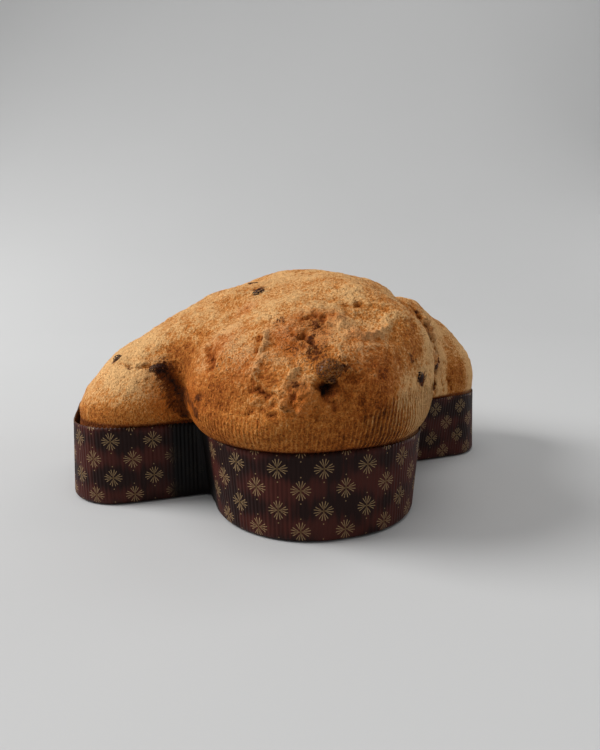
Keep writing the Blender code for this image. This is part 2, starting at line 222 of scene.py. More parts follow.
def outline_distance(points, outline):
    """Signed distance in plan from points to a closed outline, negative inside."""
    starts = outline
    sides = np.roll(outline, -1, axis=0) - starts
    away = points[:, None, :] - starts[None]
    share = np.clip((away * sides).sum(axis=2) / (sides * sides).sum(axis=1), 0.0, 1.0)
    nearest = np.linalg.norm(away - share[..., None] * sides, axis=2).min(axis=1)
    above = starts[None, :, 1] > points[:, None, 1]
    crosses = above != np.roll(above, -1, axis=1)
    rise = np.where(sides[:, 1] == 0.0, 1.0, sides[:, 1])
    crossing_x = starts[:, 0] + (points[:, None, 1] - starts[:, 1]) * sides[:, 0] / rise
    inside = (crosses & (points[:, None, 0] < crossing_x)).sum(axis=1) % 2 == 1
    return np.where(inside, -nearest, nearest)


class Plan:
    """A closed outline, with the distance to it kept on a grid that is quick to read."""

    def __init__(self, half, radii):
        outline = rounded_outline(half, radii, side_points=1)[::2]
        self.x = np.arange(-PLAN_REACH[0], PLAN_REACH[0], PLAN_STEP)
        self.y = np.arange(-PLAN_REACH[1], PLAN_REACH[1], PLAN_STEP)
        x, y = np.meshgrid(self.x, self.y, indexing="ij")
        points = np.column_stack([x.ravel(), y.ravel()])
        self.values = outline_distance(points, outline).reshape(x.shape)

    def distance(self, points):
        place = []
        for axis, line in enumerate((self.x, self.y)):
            index = np.clip((points[:, axis] - line[0]) / PLAN_STEP, 0.0, len(line) - 1.001)
            place.append((index.astype(int), index % 1.0))
        (i, across), (j, up) = place
        low = self.values[i, j] * (1.0 - across) + self.values[i + 1, j] * across
        high = self.values[i, j + 1] * (1.0 - across) + self.values[i + 1, j + 1] * across
        return low * (1.0 - up) + high * up


# --- Crown of the bread -----------------------------------------------------------------
WINGS_PLAN = Plan(*WINGS_OUTLINE)
TAIL_PLAN = Plan(*TAIL_OUTLINE)
HEAD_PLAN = Plan(*HEAD_OUTLINE)


def tail_bulge(x):
    return mix(TAIL_BULGE, smoothstep(-0.150, -0.095, x))


def head_bulge(x):
    return mix(HEAD_BULGE, smoothstep(0.110, 0.084, x))


def ridge(x):
    """Height of the crown along its length, over the tail and the wings."""
    behind = np.maximum(PEAK_X - x, 0.0)
    ahead = np.maximum(x - PEAK_X, 0.0)
    fall = TAIL_FALL * (behind * 1000.0) ** TAIL_FALL_POWER / 1000.0
    return CROWN_TOP - fall - FRONT_FALL * ahead ** 2


def lobe(points, plan, form, bulge, top):
    """Roughly the distance from points to a lobe whose section is a superellipse."""
    z = points[:, 2]
    distance = plan.distance(points)
    above = z >= form["widest"]
    upper = np.maximum(top - form["widest"], 0.003)
    lower = (form["widest"] - CASE_HEIGHT) / UNDERCUT
    height = np.abs(z - form["widest"]) / np.where(above, upper, lower)
    turn_in = np.maximum(bulge, 0.0003) / (1.0 - math.sqrt(1.0 - UNDERCUT ** 2))
    radius = np.where(above, form["side"], turn_in)
    width = np.maximum(0.0, 1.0 + (distance - bulge) / radius)
    power = np.where(above, form["power"], 2.0)
    value = (height ** power + width ** power) ** (1.0 / power) - 1.0
    return value * np.minimum(radius, 0.060)


def smooth_union(first, second, width):
    overlap = np.maximum(width - np.abs(first - second), 0.0) / width
    return np.minimum(first, second) - overlap ** 2 * width / 4.0


def swell(points):
    """Slow seeded waves that make the crown uneven."""
    random = np.random.default_rng(SWELL_SEED)
    total = np.zeros(len(points))
    for _ in range(SWELL_WAVES):
        direction = random.normal(size=3)
        direction /= np.linalg.norm(direction)
        length = random.uniform(*SWELL_LENGTHS)
        phase = random.uniform(0.0, 2.0 * math.pi)
        total += np.sin(2.0 * math.pi * (points @ direction) / length + phase)
    return SWELL_HEIGHT * total * smoothstep(*SWELL_FROM, points[:, 2])


def blob(points, x, y, z, radius):
    """A soft round mark: 1 at its middle, and fading out round its radius."""
    away = np.linalg.norm(points - np.array((x, y, z)), axis=1) / radius
    return np.exp(-away ** 2)


def crown(points):
    """Roughly the distance from points to the crown's surface, negative inside."""
    x, y = points[:, 0], points[:, 1]
    wings = lobe(points, WINGS_PLAN, WINGS, np.full(len(x), WING_BULGE),
                 ridge(x) - WING_FALL * y ** 2)
    tail = lobe(points, TAIL_PLAN, TAIL, tail_bulge(x), ridge(x))
    head = lobe(points, HEAD_PLAN, HEAD, head_bulge(x),
                np.minimum(HEAD_RIDGE - HEAD_SLOPE * (x - HEAD_X), HEAD_TOP))
    soft = mix(BLEND_TAIL, smoothstep(*BLEND_RISE, points[:, 2]))
    body = smooth_union(smooth_union(wings, tail, soft), head, BLEND_HEAD)
    for x, y, z, radius, height in RELIEF:
        body = body - height * blob(points, x, y, z, radius)
    return body - swell(points)


def reach_crown(start, directions):
    """The points where rays from inside the bread leave the crown."""
    near = np.zeros(len(directions))
    far = np.full(len(directions), RAY_LENGTH)
    for _ in range(BISECTIONS):
        middle = 0.5 * (near + far)
        inside = crown(start + directions * middle[:, None]) < 0.0
        near = np.where(inside, middle, near)
        far = np.where(inside, far, middle)
    return start + directions * near[:, None]


# --- Meshes from rows of points ---------------------------------------------------------
def add_object(name, data):
    item = bpy.data.objects.new(name, data)
    bpy.context.scene.collection.objects.link(item)
    return item


def mesh_object(name, points, faces, uvs):
    mesh = bpy.data.meshes.new(name)
    mesh.from_pydata(points.tolist(), [], faces)
    layer = mesh.uv_layers.new(name="surface")
    layer.data.foreach_set("uv", np.asarray(uvs, dtype=np.float32).ravel())
    mesh.shade_smooth()
    return add_object(name, mesh)


def strip_faces(rows, columns):
    """Quads between rings of points, the corners of each in the order of strip_uvs."""
    faces = []
    for row in range(rows - 1):
        low, high = row * columns, (row + 1) * columns
        for column in range(columns):
            right = (column + 1) % columns
            faces.append((low + column, low + right, high + right, high + column))
    return faces


def strip_uvs(across, up):
    """Texture coordinates of strip_faces; across has one more value than the columns."""
    uvs = []
    for low, high in zip(up[:-1], up[1:]):
        for left, right in zip(across[:-1], across[1:]):
            uvs.extend(((left, low), (right, low), (right, high), (left, high)))
    return uvs


def add_fan(faces, uvs, middle, first, columns, upwards):
    """Adds triangles between a middle point and the ring that starts at a first point."""
    for column in range(columns):
        side = (first + column, first + (column + 1) % columns)
        faces.append((middle, *(side if upwards else side[::-1])))
        uvs.extend(3 * ((0.0, float(upwards)),))


def even_places(outline, count):
    """Fractional indices that divide a closed outline into equal lengths."""
    lengths = lengths_along(outline)
    wanted = lengths[-1] * np.arange(count) / count
    return np.interp(wanted, lengths, np.arange(len(lengths)))


def applied(item):
    """The object's mesh with its modifiers applied, in the same object."""
    graph = bpy.context.evaluated_depsgraph_get()
    mesh = bpy.data.meshes.new_from_object(item.evaluated_get(graph))
    old = item.data
    item.modifiers.clear()
    item.data = mesh
    bpy.data.meshes.remove(old)
    mesh.shade_smooth()
    return item


def subdivided(item, levels):
    modifier = item.modifiers.new("subdivision", "SUBSURF")
    modifier.levels = modifier.render_levels = levels
    return applied(item)


def read_points(mesh):
    points = np.empty(len(mesh.vertices) * 3)
    mesh.vertices.foreach_get("co", points)
    return points.reshape(-1, 3)


def read_normals(mesh):
    normals = np.empty(len(mesh.vertices) * 3)
    mesh.vertex_normals.foreach_get("vector", normals)
    return normals.reshape(-1, 3)


def write_points(mesh, points):
    mesh.vertices.foreach_set("co", points.astype(np.float32).ravel())
    mesh.update()


def write_mark(mesh, name, values):
    """Keeps one number a point for the material to read."""
    mark = mesh.attributes.new(name, "FLOAT", "POINT")
    mark.data.foreach_set("value", np.clip(values, 0.0, 1.0).astype(np.float32))


def lumps(points, size, octaves, shift):
    """Fractal noise with lumps of a given size, roughly from -1 to 1."""
    scaled = points / size + shift
    return np.array([noise.fractal(Vector(point), 1.0, 2.0, octaves) for point in scaled])


def line_mark(points, path, width):
    """A soft line along a path: 1 on the path, and fading out over its width."""
    nearest = np.full(len(points), np.inf)
    for start, end in zip(path[:-1], path[1:]):
        start, side = np.array(start), np.array(end) - np.array(start)
        share = np.clip((points - start) @ side / (side @ side), 0.0, 1.0)
        away = np.linalg.norm(points - start - share[:, None] * side, axis=1)
        nearest = np.minimum(nearest, away)
    return np.exp(-(nearest / width) ** 2)


# --- Bread ------------------------------------------------------------------------------
BREAD_FLOOR = 0.0016
BREAD_LEVELS = ((BREAD_FLOOR, 0.0030), (0.0046, 0.0), (0.034, 0.0), (0.038, 0.0), (0.042, 0.0),
                (0.046, 0.0), (RIM_CLEAR, 0.0))     # height and extra inset
FIRST_LOW_ROW = 0.0509
FLUTE_PITCH = 0.0024

# Noise on the crust: size, octaves and shift of each, and how high it stands.
LUMPS = (((0.016, 3, 0.160), 0.00060), ((0.0050, 3, 0.050), 0.00046))
WRINKLES = (0.0070, 3, 3.7)
WRINKLE_HEIGHT = 0.00095
TORN_FOLDS = (0.0048, 3, 8.1)
LINE_LUMPS = (0.0042, 2, 5.3)
LINE_RISE = 1.25                # the lines' heights are given for an even line
HOLE_DEPTH = 0.0055
# Painted shade: the crust is darker in its hollows and paler on its raised parts.
HOLLOW_RANGE = 0.003            # the colour follows the crust's height over this range
TORN_SHARE = 600.0              # how much torn colour a metre of folds brings
WARP_SIZE = 0.0034              # marks are made ragged by noise of this size and reach
WARP_REACH = 0.0024
WARP_SEED = 5
RING = {"middle": (0.0045, -0.1165, 0.1150), "radius": 0.0128, "width": 0.0018,
        "height": 0.0023}
RING_FROM = (0.123, 0.108)      # the ring's edge grows towards its lower side
PALE_FOOT = (-0.040, -0.142, 0.060, 0.030)      # x, y, z and radius, on the near wing
# How pale the crust is everywhere, and what each part of it adds to that. The parts top and facing are
# painted light: the crust facing up and the flanks facing the head are paler, as where the lamps fall.
BAKE_AND_LIGHT = {"all": 0.40, "top": 0.43, "tail": 0.46, "front": -0.11, "facing": 0.90, "foot": 0.13,
        "head": 0.20, "low": -0.02}

# The marks on the crust, all in millimetres.
# Raised folds and open cracks. Per line: its points, its width and its height.
LINES = (
    # ridge by the torn area
    (((-45, -106.3, 108.2), (-48.9, -113.3, 99.9), (-54, -119.1, 90.9)), 2, 1.7),
    (((-47.4, -105.3, 107.1), (-50.9, -110.6, 100.7)), 1.6, -2.2),
    (((-44.5, -68.9, 118.2), (-43.2, -88.2, 116.1), (-42.3, -98, 113.6)), 1.2, 1.1),
    # dimple
    (((-71.8, -77.5, 96.5), (-71, -86, 93.5), (-72.6, -93.1, 89.6)), 2.2, -2.2),
    # edge of the torn nose
    (((-36.7, -132, 92.2), (-41, -134, 86.5), (-45.6, -134.9, 80.6), (-42.2, -138.6, 76.4)), 2, 2.8),
    (((-42.2, -138.6, 76.4), (-37, -142, 76.5), (-33.1, -144.1, 80.9)), 1.8, 1.9),
    (((-36.3, -143.3, 77.1), (-35.2, -143, 69.2)), 1, 1.1),
    (((-32.5, -144.5, 76), (-31.8, -143.5, 68)), 1, -1.3),
    # folds beside the nose
    (((-58.2, -123.5, 77), (-53, -126.9, 79.4), (-47.7, -133.7, 77.6), (-44.2, -136.9, 77.1)), 1.2, 1.4),
    (((-54.2, -120.1, 89.1), (-52.2, -124, 85.2), (-47.1, -131.7, 83)), 1.3, 1.2),
    (((-56.5, -121.5, 82.5), (-51, -128, 81.5), (-45.5, -134, 80)), 1.3, -1.5),
    # over the blister
    (((-59, -124, 71.5), (-53.7, -129.5, 73.6), (-47, -135, 72.5)), 1, -1.3),
    # over the peel
    (((-28.5, -125.5, 101.5), (-23, -126.5, 104.1), (-17, -129, 101)), 1.7, 1.6),
    (((-16.5, -132, 99), (-13.5, -136, 92), (-17, -140, 86)), 1.4, 1.4),
    # torn area
    (((-27.4, -107.3, 116.1), (-18.2, -109.4, 117.1), (-10.9, -112.4, 116.1)), 1.6, -2),
    (((-15, -116.5, 111.5), (-19.3, -119, 109.2), (-24.5, -118.5, 108.5)), 1.5, 1.6),
    (((-33, -114, 109), (-26.9, -120.7, 106.1), (-23, -126.5, 104.1)), 1.5, -1.6),
    # ring
    (((-0.8, -105.5, 121.2), (8.5, -105.5, 123.2), (15.9, -108.8, 122.2)), 1.5, -1.8),
    (((-9.8, -115.3, 114.2), (-7.5, -122, 110), (-4.4, -126.7, 107), (4, -128, 107),
      (13.4, -123.1, 110.1)), 1.8, 1.6),
    # head
    (((78.4, -35.5, 118.6), (84, -43, 109.1)), 1.4, -3),
    (((84, -43, 109.1), (86, -44.1, 105.7), (90.6, -46.4, 95.9), (97, -44.8, 85.5)), 1.6, -2.2),
    (((88, -40, 108.5), (93.5, -43.5, 98), (99.5, -43, 87)), 1.8, 1.8),
    (((90.5, -50, 72), (89.8, -56.1, 60.6), (92.5, -53.5, 55.5)), 1.8, -2.6),
    (((107.5, -43.3, 64.2), (111.6, -42, 54)), 1, -1.6),
    (((100, -45.5, 64), (103.3, -45.8, 54)), 1, -1.4),
    # crack on the tail
    (((-119.2, -28.7, 85.6), (-114, -41.4, 83.1), (-108.3, -45.6, 83.5),
      (-102.4, -46.1, 85.7)), 1.1, -1.8),
    (((-118.5, -27, 88), (-112.5, -40, 85.5), (-107, -44, 86)), 1.6, 1.2),
    (((-137, 9.7, 68.8), (-139.2, -7.9, 66.8)), 1.2, -1.4),
    # back
    (((-30, 118, 106), (-15, 124, 101), (1, 123, 103)), 1.8, 1.6),
    (((-25, 126, 96), (-8, 130, 93)), 1.6, -2.2),
    (((82, 38, 112), (90, 44, 98), (96, 45, 84)), 1.5, -2.2),
)
# Torn crust with small folds. Per place: x, y, z, radius and depth of the folds.
TORN = (
    (-20.5, -114.7, 112.6, 8.5, 1.5),
    (-26.2, -122.5, 104.5, 7, 1.4),
    (-38, -139, 83.5, 8, 1.6),
    (-51, -129, 80, 9, 0.9),
    (-23, -143, 80, 6, 1.1),
    (88, -45, 101, 8, 1.5),
    (93, -50, 78, 9, 1.5),
    (-98.5, -47, 82, 7, 1),
    (-15, 127, 97, 13, 1.6),
    (89, 45, 96, 10, 1.4),
    (-90, 48, 80, 10, 1.2),
)
# Deep holes, burnt places (the ones at the holes are painted shade inside them), orange and pinkish
# places. Per place: x, y, z, radius and strength.
HOLES = (
    (-25.5, -142.2, 85.7, 3.2, 1.00),
    (89.8, -56.1, 60.6, 2.6, 0.70),
    (-15, 127, 95, 3, 0.80),
)
BURNS = (
    (-30, -123, 103, 17, 0.33),
    (-62, -103, 96, 17, 0.26),
    (-15, -135, 93, 13, 0.30),
    (-20.1, -115, 112.4, 4, 0.70),
    (-26.9, -120.7, 106.1, 2.2, 0.95),
    (-36.7, -103.6, 113.9, 4, 0.62),
    (-45.6, -60.3, 118.9, 3.4, 0.50),
    # painted shade inside the hole under the peel
    (-25.5, -142.2, 85.7, 3.4, 1.40),
    (-21.9, -138.1, 87.1, 2.6, 1.20),
    (-38.1, -138.3, 85.7, 3.2, 0.75),
    (-24.5, -129, 98.5, 8.5, 0.58),
    (-16, -135, 92, 2.8, 0.85),
    (25.3, -131.1, 96, 3.2, 0.70),
    (34.6, -126.1, 84, 4.4, 0.85),
    (-79.8, -94.3, 74.2, 2.8, 0.75),
    (-72.2, -85, 93, 3, 0.45),
    (98.5, -47, 79, 3, 0.80),
    # painted shade inside the hole on the head's flank
    (89.8, -56.1, 60.6, 3.4, 1.10),
    (81, -39, 114, 2.4, 0.90),
    (-93.5, -47, 83, 6, 0.70),
    (-114, -41.4, 83.1, 1.8, 0.85),
    (-108.3, -45.6, 83.5, 1.8, 0.85),
    (-122, -19, 86, 5.5, 0.60),
    (-35.2, -42.4, 129.5, 5.4, 0.60),
    (-32.7, -22.6, 132.9, 3.4, 1.30),
    # painted shade inside the hole at the back
    (-15, 127, 95, 4, 0.80),
    (50, 90, 106, 4, 0.60),
    (-88, 53, 72, 6, 0.80),
)
# Dark bands, mostly down the grooves between the tail, the wings and the head: burnt crust, with painted
# shade in the grooves.
BURN_AND_SHADE_LINES = (                  # path, width and strength
    (((-96.8, -45.3, 80.3), (-88.8, -52.2, 73.2), (-84.7, -55.6, 64.4), (-85, -55.8, 56)), 5, 0.86),
    (((-95, -50, 75), (-90, -53.5, 60)), 6, 0.62),
    (((-82.9, -58.3, 72.2), (-83.8, -72, 72), (-83, -86.2, 70), (-80.5, -95, 64.9)), 4.2, 0.62),
    (((-83.8, -62, 66), (-84, -74, 60)), 6, 0.75),
    (((-90, 50, 76), (-85, 55.8, 60)), 5, 0.80),
    (((88, -52, 78), (90, -54.5, 60)), 3, 0.70),
    (((88, 52, 78), (90, 54.5, 60)), 3.4, 0.75),
)
ORANGES = (
    (-83.1, -84, 68, 14, 0.85),
    (-96, -56, 64, 11, 0.70),
    (-86, -56, 62, 12, 0.60),
    (-18.2, -109.4, 117.1, 5.6, 0.90),
    (-10.9, -112.4, 116.1, 5.6, 0.90),
    (-27.4, -107.3, 116.1, 5.6, 0.60),
    (-19.3, -119, 109.2, 6.3, 0.80),
    (-4.4, -126.7, 107, 6.3, 0.60),
    (4, -128, 107, 5.6, 0.50),
    (-32.2, -122.6, 101.5, 7.5, 0.50),
    (-23, -126.5, 104.1, 5.6, 0.70),
    (-38, -141, 80, 8.5, 0.95),
    (-35, -120, 102, 13, 0.55),
    (-24, -144, 79, 6.3, 0.60),
    (-15, 129, 90, 11.2, 0.70),
    (90, 48, 88, 10, 0.60),
)
PINKS = (
    (-66, -85, 98, 16, 0.70),
    (-36, -112, 108, 11, 0.90),
    (-58, -112, 92, 15, 0.60),
    (-45.6, -60.3, 118.9, 8, 0.60),
    (-1, -139, 93, 20, 0.55),
    (60, 30, 130, 20, 0.50),
    (10, 135, 90, 20, 0.60),
    (-60, 90, 98, 18, 0.60),
)


def bread_rows(places):
    """Rings of the bread from its bottom to its crown, each with one point a column."""
    rows = []
    for z, extra in BREAD_LEVELS:
        outline = resample(case_outline(min(z / CASE_HEIGHT, 1.0)), places)
        away = np.maximum(-tail_bulge(outline[:, 0]) - WALL_INSET, 0.0)
        away *= smoothstep(SHRINK_START, CASE_HEIGHT, z)
        ring = inset(outline, WALL_INSET + extra + away)
        rows.append(np.column_stack([ring, np.full(len(ring), z)]))
    azimuths = np.arctan2(rows[-1][:, 1], rows[-1][:, 0])
    level_rays = np.column_stack([np.cos(azimuths), np.sin(azimuths), 0.0 * azimuths])
    for row in range(ROWS_LOW):
        z = mix((FIRST_LOW_ROW, RAY_HEIGHT), row / (ROWS_LOW - 1))
        rows.append(reach_crown(np.array((0.0, 0.0, z)), level_rays))
    for row in range(1, ROWS_HIGH):
        elevation = 0.5 * math.pi * row / ROWS_HIGH
        rays = level_rays * math.cos(elevation)
        rays[:, 2] = math.sin(elevation)
        rows.append(reach_crown(np.array((0.0, 0.0, RAY_HEIGHT)), rays))
    return rows


def bake_and_light_level(points, normals):
    """How pale the crust is: most on the tail and the top, least low on the sides. The paler top and the
    paler flanks facing the head are painted light.
    """
    x, z = points[:, 0], points[:, 2]
    # painted light: the crust facing up is paler
    top = smoothstep(0.15, 0.95, normals[:, 2])
    sides = 1.0 - top
    tail = smoothstep(-0.086, -0.112, x) * mix((0.30, 1.0), smoothstep(0.056, 0.078, z))
    parts = {
        "all": 1.0,
        "top": top,
        "tail": tail * (1.0 - 0.6 * top),
        "front": smoothstep(-0.060, 0.020, x) * sides,
        # painted light on the flanks that face the head
        "facing": smoothstep(0.15, 0.75, normals[:, 0]) * sides,
        "foot": blob(points, *PALE_FOOT),
        "head": smoothstep(0.080, 0.095, x) * sides,
        "low": smoothstep(0.072, 0.054, z),
    }
    return sum(BAKE_AND_LIGHT[name] * part for name, part in parts.items())


def flute_level(points):
    """How clearly the crust over the rim carries the flutes of the paper, in its bump and in painted
    light and shade on its colour.
    """
    x, y, z = points.T
    wings = smoothstep(0.070, 0.090, np.abs(y))
    along = 0.25 + 0.75 * smoothstep(-0.015, 0.012, x)
    height = 0.072 + 0.012 * smoothstep(-0.020, 0.020, x)
    return wings * along * smoothstep(0.0, 0.010, height - z)


def settle(points, places):
    """The points of a surface nearest to the given places, which are in millimetres."""
    return [points[np.argmin(((points - MM * np.array(place)) ** 2).sum(axis=1))]
            for place in places]


def warped(points, size, reach):
    """The points moved a little by noise, so that marks measured from them are ragged."""
    noise.seed_set(WARP_SEED)
    moves = np.array([noise.noise_vector(Vector(point)) for point in points / size])
    return points + reach * moves


def spots(points, ragged, places):
    """The strongest of several soft marks, from a table of places in millimetres."""
    total = np.zeros(len(points))
    for *place, radius, strength in places:
        middle = settle(points, [place])[0]
        total = np.maximum(total, strength * blob(ragged, *middle, MM * radius))
    return total


def carve_bread(item, box):
    """Moves the crust's points along their normals: lumps, folds, cracks and pockets."""
    mesh = item.data
    points, normals = read_points(mesh), read_normals(mesh)
    ragged = warped(points, WARP_SIZE, WARP_REACH)
    over_rim = smoothstep(0.051, 0.060, points[:, 2])
    crust = smoothstep(0.060, 0.078, points[:, 2])
    height = np.zeros(len(points))
    for form, rise in LUMPS:
        height += rise * lumps(points, *form) * mix((0.35, 1.0), crust)
    folds = 1.0 - np.abs(lumps(points, *WRINKLES))
    height += WRINKLE_HEIGHT * (folds - 0.75) * crust
    folds = 1.0 - 2.0 * np.abs(lumps(points, *TORN_FOLDS))
    torn = MM * spots(points, ragged, TORN)
    height += torn * (folds - 0.2)
    uneven = np.clip(0.65 + 1.1 * lumps(points, *LINE_LUMPS), 0.0, 1.5)
    for path, width, rise in LINES:
        line = line_mark(ragged, settle(points, path), MM * width)
        height += LINE_RISE * MM * rise * uneven * line
    away = np.linalg.norm(ragged - np.array(RING["middle"]), axis=1)
    edge = np.exp(-((away - RING["radius"]) / RING["width"]) ** 2)
    height += RING["height"] * edge * smoothstep(*RING_FROM, points[:, 2])
    height -= HOLE_DEPTH * spots(points, ragged, HOLES)
    burn_and_shade = spots(points, ragged, BURNS)
    # the groove lines add painted shade to the burnt places
    for path, width, strength in BURN_AND_SHADE_LINES:
        line = line_mark(ragged, settle(points, path), MM * width)
        burn_and_shade = np.maximum(burn_and_shade, strength * line)
    marks = {"bake_and_light": bake_and_light_level(points, normals), "flute": flute_level(points), "burn_and_shade": burn_and_shade,
             "orange": spots(points, ragged, ORANGES), "pink": spots(points, ragged, PINKS),
             "torn": TORN_SHARE * torn, "hollow": 0.5 - height / HOLLOW_RANGE}
    points += normals * (height * over_rim)[:, None]
    for axis in range(3):
        points[:, axis] = np.clip(points[:, axis], box[0][axis], box[1][axis])
    write_points(mesh, points)
    for name, values in marks.items():
        write_mark(mesh, name, values)


def make_bread(box):
    outline = case_outline(1.0)
    places = even_places(outline, BREAD_COLUMNS)
    rows = bread_rows(places)
    points = np.vstack(rows)
    perimeter = lengths_along(outline)[-1]
    across = perimeter * np.arange(BREAD_COLUMNS + 1) / BREAD_COLUMNS
    up = [rows[0][0, 2]]
    for low, high in zip(rows[:-1], rows[1:]):
        up.append(up[-1] + float(np.linalg.norm(high - low, axis=1).mean()))
    faces = strip_faces(len(rows), BREAD_COLUMNS)
    uvs = strip_uvs(across, up)
    add_fan(faces, uvs, len(points), 0, BREAD_COLUMNS, False)
    add_fan(faces, uvs, len(points) + 1, len(points) - BREAD_COLUMNS, BREAD_COLUMNS, True)
    top = reach_crown(np.array((0.0, 0.0, RAY_HEIGHT)), np.array([(0.0, 0.0, 1.0)]))
    points = np.vstack([points, [(0.0, 0.0, BREAD_FLOOR)], top])
    item = mesh_object("crusty_bread", points, faces, uvs)
    carve_bread(item, box)
    return item


# --- Paper case -------------------------------------------------------------------------
FLUTES = 389
FLUTE_POINTS = 8
FLUTE_DEPTH = 0.00030
FLUTE_SHARES = (0.55, 1.0)      # the flutes differ in depth
FLUTE_SEED = 3
FLUTE_FROM = (0.0005, 0.0040)   # heights between which the flutes grow to their full depth
PAPER_SHEET = 0.00042
WALL_ROWS = ((0.0, 0.0034), (0.0004, 0.0018), (0.0011, 0.0008), (0.0024, 0.0), (0.006, 0.0),
             (0.014, 0.0), (0.024, 0.0), (0.034, 0.0), (0.042, 0.0), (0.047, 0.0),
             (0.0496, 0.0))     # height and extra inset of the wall's rows
RIM_FROM = 0.049                # rows above this follow the uneven rim
RIM_RISE = 0.0003
RIM_WAVES = 7.3
SEAM_PLACE = (-0.0729, -0.0551)
SEAM_WIDTH = 0.010              # overlap of the paper's two ends, in the notch by the tail
SEAM_STEP = 0.0004
SEAM_RISE = 0.00035
NEIGHBOURS = 6                  # the wall's normals are taken over so many points each way


def make_paper_case():
    """The fluted wall with its sheet's thickness, and the flat bottom."""
    columns = FLUTES * FLUTE_POINTS
    middle = case_outline(0.5)
    seam = int(np.argmin(np.linalg.norm(middle - np.array(SEAM_PLACE), axis=1)))
    middle = np.roll(middle, -seam, axis=0)
    upright = resample(middle, even_places(middle, columns))
    perimeter = lengths_along(middle)[-1]
    across = perimeter * np.arange(columns + 1) / columns
    turn = 2.0 * math.pi * np.arange(columns) / FLUTE_POINTS
    shares = np.random.default_rng(FLUTE_SEED).uniform(*FLUTE_SHARES, FLUTES)
    flute = FLUTE_DEPTH * np.repeat(shares, FLUTE_POINTS) * (0.5 + 0.5 * np.cos(turn))
    single = SEAM_RISE * smoothstep(SEAM_WIDTH, SEAM_WIDTH + SEAM_STEP, across[:-1])
    rows = []
    up = []
    for side, heights in enumerate((WALL_ROWS, WALL_ROWS[:2:-1])):
        for z, extra in heights:
            fluted = flute * smoothstep(*FLUTE_FROM, z)
            inwards = fluted + extra + side * PAPER_SHEET + single
            leans = outline_distance(upright, case_outline(z / CASE_HEIGHT))
            ring = inset_smooth(upright, inwards + leans)
            rise = RIM_RISE * np.sin(RIM_WAVES * turn / FLUTE_POINTS) if z > RIM_FROM else 0.0
            rows.append(np.column_stack([ring, z + rise + np.zeros(columns)]))
            up.append(z if side == 0 else 2.0 * CASE_HEIGHT - z)
    points = np.vstack(rows)
    faces = strip_faces(len(rows), columns)
    uvs = strip_uvs(across, up)
    add_fan(faces, uvs, len(points), 0, columns, False)
    points = np.vstack([points, [(0.0, 0.0, 0.0)]])
    return mesh_object("fluted_paper_case", points, faces, uvs)


def inset_smooth(outline, distance):
    """The outline moved inwards along normals taken over a few neighbours."""
    along = np.roll(outline, -NEIGHBOURS, axis=0) - np.roll(outline, NEIGHBOURS, axis=0)
    along /= np.linalg.norm(along, axis=1)[:, None]
    left = np.stack([-along[:, 1], along[:, 0]], axis=1)
    return outline + left * np.reshape(distance, (-1, 1))


# --- Fruit ------------------------------------------------------------------------------
# Per kind of fruit: the form of its wrinkles, as for the crust, and their depth.
FRUIT_SKIN = {"raisin": ((0.0032, 2, 1.3), 0.00070), "peel": ((0.0060, 2, 1.3), 0.00130)}


def make_fruit(frame, node, kind):
    """A wrinkled piece of fruit of the same form as its solid."""
    solid = frame["nodes"][node]
    item = add_object("wrinkled_" + node, solid.data.copy())
    item.matrix_world = solid.matrix_world.copy()
    subdivided(item, 2)
    points, normals = read_points(item.data), read_normals(item.data)
    form, depth = FRUIT_SKIN[kind]
    folds = depth * np.abs(lumps(points, *form))
    write_points(item.data, points - normals * folds[:, None])
    return item


